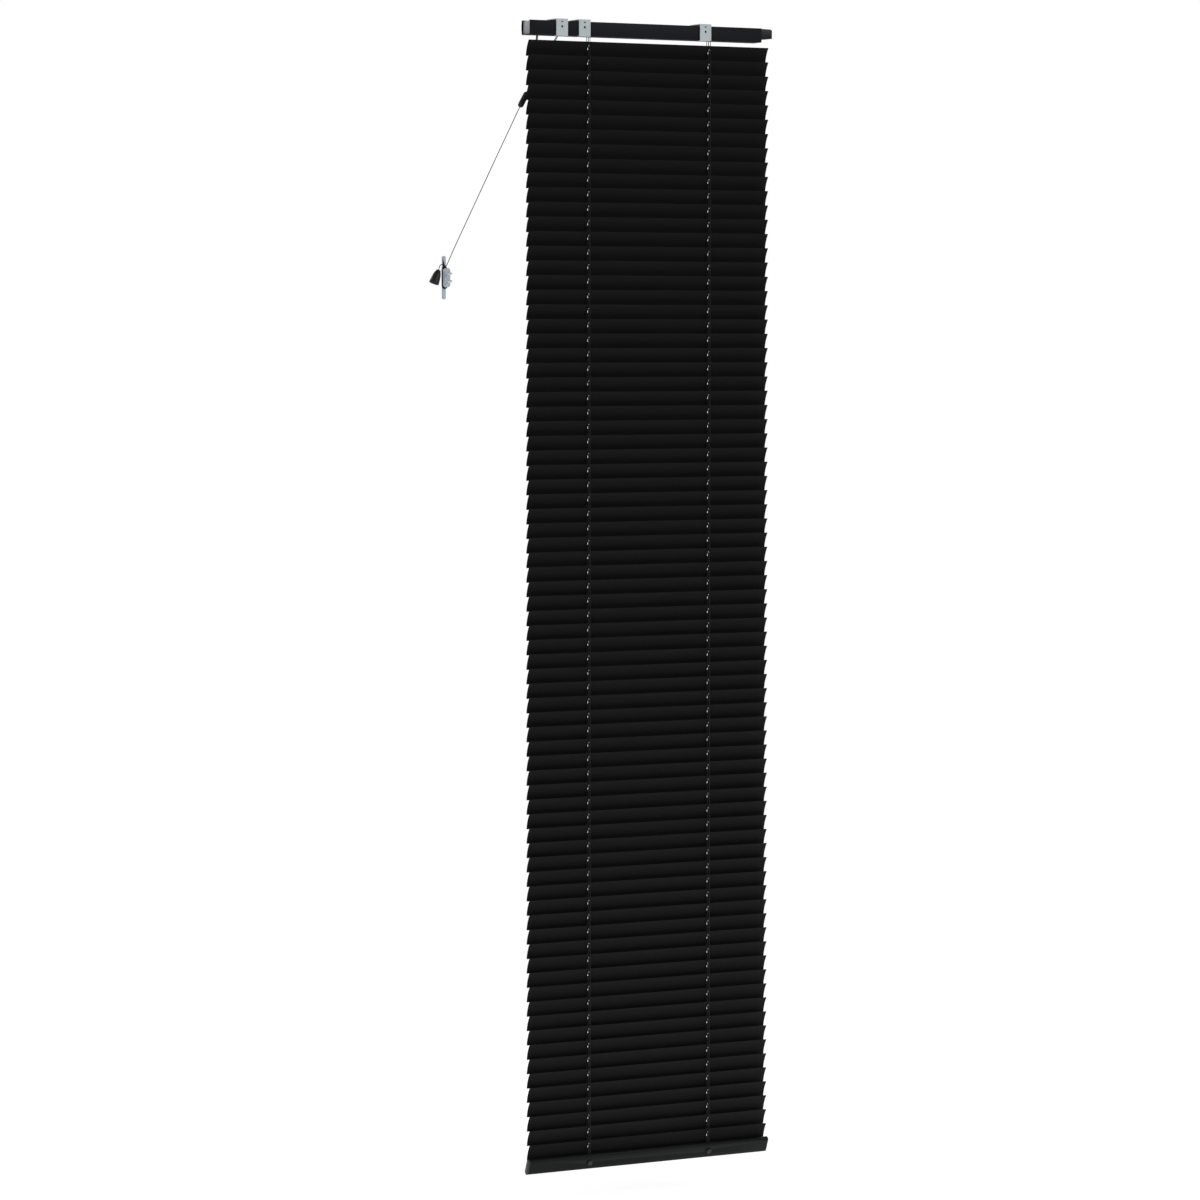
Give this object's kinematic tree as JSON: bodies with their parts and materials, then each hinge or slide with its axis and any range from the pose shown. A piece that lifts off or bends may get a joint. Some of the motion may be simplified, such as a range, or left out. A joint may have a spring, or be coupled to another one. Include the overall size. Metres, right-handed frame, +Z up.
{
  "type": "venetian blind",
  "caption": "Narrow venetian blind with curved metal slats, a worm tilter with a wand, ladder cords, and a lift cord tied off on a wall cleat.",
  "frame": {"origin": "on the wall, midway between the two screw holes of the second bracket", "axes": "+Z up, +X along the slats towards the control end, +Y into the wall"},
  "size_m": [0.5771, 0.0561, 1.7099],
  "materials": {
    "slat_paint": "satin black stove enamel on aluminium",
    "headrail_paint": "satin charcoal enamel on steel",
    "foot_paint": "satin black enamel on steel",
    "bracket_paint": "satin pale grey enamel on steel",
    "grey_plastic": "moulded, light grey",
    "black_plastic": "moulded, black",
    "white_nylon": "moulded nylon",
    "steel": "drawn steel",
    "brass": "knurled",
    "cord": "braided polyester",
    "cleat_plastic": "moulded, pale blue-grey",
    "screw_plate": "zinc plated",
    "wand_plastic": "extruded, black"
  },
  "bodies": {
    "root": {"headrail": "headrail_paint", "headrail_cap_control": "grey_plastic", "headrail_cap_far": "black_plastic", "bracket_1": "bracket_paint", "bracket_2": "bracket_paint", "bracket_3": "bracket_paint", "tilter_housing": "white_nylon", "cradle_1": "white_nylon", "cradle_2": "white_nylon", "cord_lock_housing": "white_nylon", "cord_lock_pin": "steel", "lift_cords": "cord", "cord_tails": "cord", "cord_connector": "black_plastic", "pull_cord": "cord", "cleat_winding": "cord", "tassel": "black_plastic", "cleat": "cleat_plastic", "cleat_screws": "screw_plate", "slats_between": "slat_paint"},
    "tilt_shaft": {"tilt_rod": "steel", "tilter_gear": "white_nylon", "ladder_drum_1": "white_nylon", "ladder_drum_2": "white_nylon"},
    "worm": {"tilter_worm": "grey_plastic"},
    "wand_swing": {"wand_coupling": "grey_plastic"},
    "wand_spin": {"wand": "wand_plastic", "wand_grip": "black_plastic"},
    "lock_roller": {"cord_lock_roller": "brass"},
    "ladder_wall": {"ladder_wall_side": "cord"},
    "ladder_room": {"ladder_room_side": "cord"},
    "foot": {"bottom_rail": "foot_paint", "bottom_rail_caps": "black_plastic", "ladder_plugs": "black_plastic"},
    "slat_02": {"slat_02": "slat_paint"},
    "slat_05": {"slat_05": "slat_paint"},
    "slat_08": {"slat_08": "slat_paint"},
    "slat_11": {"slat_11": "slat_paint"},
    "slat_14": {"slat_14": "slat_paint"},
    "slat_17": {"slat_17": "slat_paint"},
    "slat_20": {"slat_20": "slat_paint"},
    "slat_23": {"slat_23": "slat_paint"},
    "slat_26": {"slat_26": "slat_paint"},
    "slat_29": {"slat_29": "slat_paint"},
    "slat_32": {"slat_32": "slat_paint"},
    "slat_35": {"slat_35": "slat_paint"},
    "slat_38": {"slat_38": "slat_paint"},
    "slat_41": {"slat_41": "slat_paint"},
    "slat_44": {"slat_44": "slat_paint"},
    "slat_47": {"slat_47": "slat_paint"},
    "slat_50": {"slat_50": "slat_paint"},
    "slat_53": {"slat_53": "slat_paint"},
    "slat_56": {"slat_56": "slat_paint"},
    "slat_59": {"slat_59": "slat_paint"},
    "slat_62": {"slat_62": "slat_paint"},
    "slat_65": {"slat_65": "slat_paint"},
    "slat_68": {"slat_68": "slat_paint"},
    "slat_71": {"slat_71": "slat_paint"},
    "slat_74": {"slat_74": "slat_paint"},
    "slat_77": {"slat_77": "slat_paint"}
  },
  "joints": [
    {"name": "tilt", "type": "hinge", "parent": "root", "child": "tilt_shaft", "pos_m": [-0.117, -0.0155, -0.0082], "axis": [-1, 0, 0], "range_deg": [0, 125]},
    {"name": "worm_turn", "type": "hinge", "parent": "root", "child": "worm", "pos_m": [0.0665, -0.02293, -0.00662], "axis": [0, -0.2079, -0.9781], "range_deg": [0, 1500]},
    {"name": "wand_swing", "type": "hinge", "parent": "root", "child": "wand_swing", "pos_m": [0.0665, -0.02699, -0.0257], "axis": [-1, 0, 0], "range_deg": [0, 60]},
    {"name": "wand_turn", "type": "hinge", "parent": "wand_swing", "child": "wand_spin", "pos_m": [0.0665, -0.0365, -0.0427], "axis": [0, 0, -1], "range_deg": [0, 1500]},
    {"name": "roller_turn", "type": "hinge", "parent": "root", "child": "lock_roller", "pos_m": [0.033, -0.0225, -0.0064], "axis": [1, 0, 0], "continuous": true},
    {"name": "ladder_wall_run", "type": "slide", "parent": "root", "child": "ladder_wall", "axis": [0, 0.552, -0.8338], "range_m": [0, 0.01396], "deforming": ["ladder_wall_side"]},
    {"name": "ladder_room_run", "type": "slide", "parent": "root", "child": "ladder_room", "axis": [0, -0.552, 0.8338], "range_m": [0, 0.01396], "deforming": ["ladder_room_side"]},
    {"name": "foot_tilt", "type": "hinge", "parent": "root", "child": "foot", "pos_m": [-0.117, -0.0155, -1.6905], "axis": [-1, 0, 0], "range_deg": [0, 68.5]},
    {"name": "slat_02_tilt", "type": "hinge", "parent": "root", "child": "slat_02", "pos_m": [-0.117, -0.0155, -0.0572], "axis": [-1, 0, 0], "range_deg": [0, 68.5]},
    {"name": "slat_05_tilt", "type": "hinge", "parent": "root", "child": "slat_05", "pos_m": [-0.117, -0.0155, -0.1217], "axis": [-1, 0, 0], "range_deg": [0, 68.5]},
    {"name": "slat_08_tilt", "type": "hinge", "parent": "root", "child": "slat_08", "pos_m": [-0.117, -0.0155, -0.1862], "axis": [-1, 0, 0], "range_deg": [0, 68.5]},
    {"name": "slat_11_tilt", "type": "hinge", "parent": "root", "child": "slat_11", "pos_m": [-0.117, -0.0155, -0.2507], "axis": [-1, 0, 0], "range_deg": [0, 68.5]},
    {"name": "slat_14_tilt", "type": "hinge", "parent": "root", "child": "slat_14", "pos_m": [-0.117, -0.0155, -0.3152], "axis": [-1, 0, 0], "range_deg": [0, 68.5]},
    {"name": "slat_17_tilt", "type": "hinge", "parent": "root", "child": "slat_17", "pos_m": [-0.117, -0.0155, -0.3797], "axis": [-1, 0, 0], "range_deg": [0, 68.5]},
    {"name": "slat_20_tilt", "type": "hinge", "parent": "root", "child": "slat_20", "pos_m": [-0.117, -0.0155, -0.4442], "axis": [-1, 0, 0], "range_deg": [0, 68.5]},
    {"name": "slat_23_tilt", "type": "hinge", "parent": "root", "child": "slat_23", "pos_m": [-0.117, -0.0155, -0.5087], "axis": [-1, 0, 0], "range_deg": [0, 68.5]},
    {"name": "slat_26_tilt", "type": "hinge", "parent": "root", "child": "slat_26", "pos_m": [-0.117, -0.0155, -0.5732], "axis": [-1, 0, 0], "range_deg": [0, 68.5]},
    {"name": "slat_29_tilt", "type": "hinge", "parent": "root", "child": "slat_29", "pos_m": [-0.117, -0.0155, -0.6377], "axis": [-1, 0, 0], "range_deg": [0, 68.5]},
    {"name": "slat_32_tilt", "type": "hinge", "parent": "root", "child": "slat_32", "pos_m": [-0.117, -0.0155, -0.7022], "axis": [-1, 0, 0], "range_deg": [0, 68.5]},
    {"name": "slat_35_tilt", "type": "hinge", "parent": "root", "child": "slat_35", "pos_m": [-0.117, -0.0155, -0.7667], "axis": [-1, 0, 0], "range_deg": [0, 68.5]},
    {"name": "slat_38_tilt", "type": "hinge", "parent": "root", "child": "slat_38", "pos_m": [-0.117, -0.0155, -0.8312], "axis": [-1, 0, 0], "range_deg": [0, 68.5]},
    {"name": "slat_41_tilt", "type": "hinge", "parent": "root", "child": "slat_41", "pos_m": [-0.117, -0.0155, -0.8957], "axis": [-1, 0, 0], "range_deg": [0, 68.5]},
    {"name": "slat_44_tilt", "type": "hinge", "parent": "root", "child": "slat_44", "pos_m": [-0.117, -0.0155, -0.9602], "axis": [-1, 0, 0], "range_deg": [0, 68.5]},
    {"name": "slat_47_tilt", "type": "hinge", "parent": "root", "child": "slat_47", "pos_m": [-0.117, -0.0155, -1.0247], "axis": [-1, 0, 0], "range_deg": [0, 68.5]},
    {"name": "slat_50_tilt", "type": "hinge", "parent": "root", "child": "slat_50", "pos_m": [-0.117, -0.0155, -1.0892], "axis": [-1, 0, 0], "range_deg": [0, 68.5]},
    {"name": "slat_53_tilt", "type": "hinge", "parent": "root", "child": "slat_53", "pos_m": [-0.117, -0.0155, -1.1537], "axis": [-1, 0, 0], "range_deg": [0, 68.5]},
    {"name": "slat_56_tilt", "type": "hinge", "parent": "root", "child": "slat_56", "pos_m": [-0.117, -0.0155, -1.2182], "axis": [-1, 0, 0], "range_deg": [0, 68.5]},
    {"name": "slat_59_tilt", "type": "hinge", "parent": "root", "child": "slat_59", "pos_m": [-0.117, -0.0155, -1.2827], "axis": [-1, 0, 0], "range_deg": [0, 68.5]},
    {"name": "slat_62_tilt", "type": "hinge", "parent": "root", "child": "slat_62", "pos_m": [-0.117, -0.0155, -1.3472], "axis": [-1, 0, 0], "range_deg": [0, 68.5]},
    {"name": "slat_65_tilt", "type": "hinge", "parent": "root", "child": "slat_65", "pos_m": [-0.117, -0.0155, -1.4117], "axis": [-1, 0, 0], "range_deg": [0, 68.5]},
    {"name": "slat_68_tilt", "type": "hinge", "parent": "root", "child": "slat_68", "pos_m": [-0.117, -0.0155, -1.4762], "axis": [-1, 0, 0], "range_deg": [0, 68.5]},
    {"name": "slat_71_tilt", "type": "hinge", "parent": "root", "child": "slat_71", "pos_m": [-0.117, -0.0155, -1.5407], "axis": [-1, 0, 0], "range_deg": [0, 68.5]},
    {"name": "slat_74_tilt", "type": "hinge", "parent": "root", "child": "slat_74", "pos_m": [-0.117, -0.0155, -1.6052], "axis": [-1, 0, 0], "range_deg": [0, 68.5]},
    {"name": "slat_77_tilt", "type": "hinge", "parent": "root", "child": "slat_77", "pos_m": [-0.117, -0.0155, -1.6697], "axis": [-1, 0, 0], "range_deg": [0, 68.5]}
  ],
  "couplings": [
    {"joint": "worm_turn", "follows": "wand_turn", "ratio": 1},
    {"joint": "tilt", "follows": "wand_turn", "ratio": 0.083333},
    {"joint": "ladder_wall_run", "follows": "wand_turn", "m_per_rad": 0.00053278},
    {"joint": "ladder_room_run", "follows": "wand_turn", "m_per_rad": 0.00053278},
    {"joint": "foot_tilt", "follows": "wand_turn", "ratio": 0.045667},
    {"joint": "slat_02_tilt", "follows": "wand_turn", "ratio": 0.045667},
    {"joint": "slat_05_tilt", "follows": "wand_turn", "ratio": 0.045667},
    {"joint": "slat_08_tilt", "follows": "wand_turn", "ratio": 0.045667},
    {"joint": "slat_11_tilt", "follows": "wand_turn", "ratio": 0.045667},
    {"joint": "slat_14_tilt", "follows": "wand_turn", "ratio": 0.045667},
    {"joint": "slat_17_tilt", "follows": "wand_turn", "ratio": 0.045667},
    {"joint": "slat_20_tilt", "follows": "wand_turn", "ratio": 0.045667},
    {"joint": "slat_23_tilt", "follows": "wand_turn", "ratio": 0.045667},
    {"joint": "slat_26_tilt", "follows": "wand_turn", "ratio": 0.045667},
    {"joint": "slat_29_tilt", "follows": "wand_turn", "ratio": 0.045667},
    {"joint": "slat_32_tilt", "follows": "wand_turn", "ratio": 0.045667},
    {"joint": "slat_35_tilt", "follows": "wand_turn", "ratio": 0.045667},
    {"joint": "slat_38_tilt", "follows": "wand_turn", "ratio": 0.045667},
    {"joint": "slat_41_tilt", "follows": "wand_turn", "ratio": 0.045667},
    {"joint": "slat_44_tilt", "follows": "wand_turn", "ratio": 0.045667},
    {"joint": "slat_47_tilt", "follows": "wand_turn", "ratio": 0.045667},
    {"joint": "slat_50_tilt", "follows": "wand_turn", "ratio": 0.045667},
    {"joint": "slat_53_tilt", "follows": "wand_turn", "ratio": 0.045667},
    {"joint": "slat_56_tilt", "follows": "wand_turn", "ratio": 0.045667},
    {"joint": "slat_59_tilt", "follows": "wand_turn", "ratio": 0.045667},
    {"joint": "slat_62_tilt", "follows": "wand_turn", "ratio": 0.045667},
    {"joint": "slat_65_tilt", "follows": "wand_turn", "ratio": 0.045667},
    {"joint": "slat_68_tilt", "follows": "wand_turn", "ratio": 0.045667},
    {"joint": "slat_71_tilt", "follows": "wand_turn", "ratio": 0.045667},
    {"joint": "slat_74_tilt", "follows": "wand_turn", "ratio": 0.045667},
    {"joint": "slat_77_tilt", "follows": "wand_turn", "ratio": 0.045667}
  ]
}
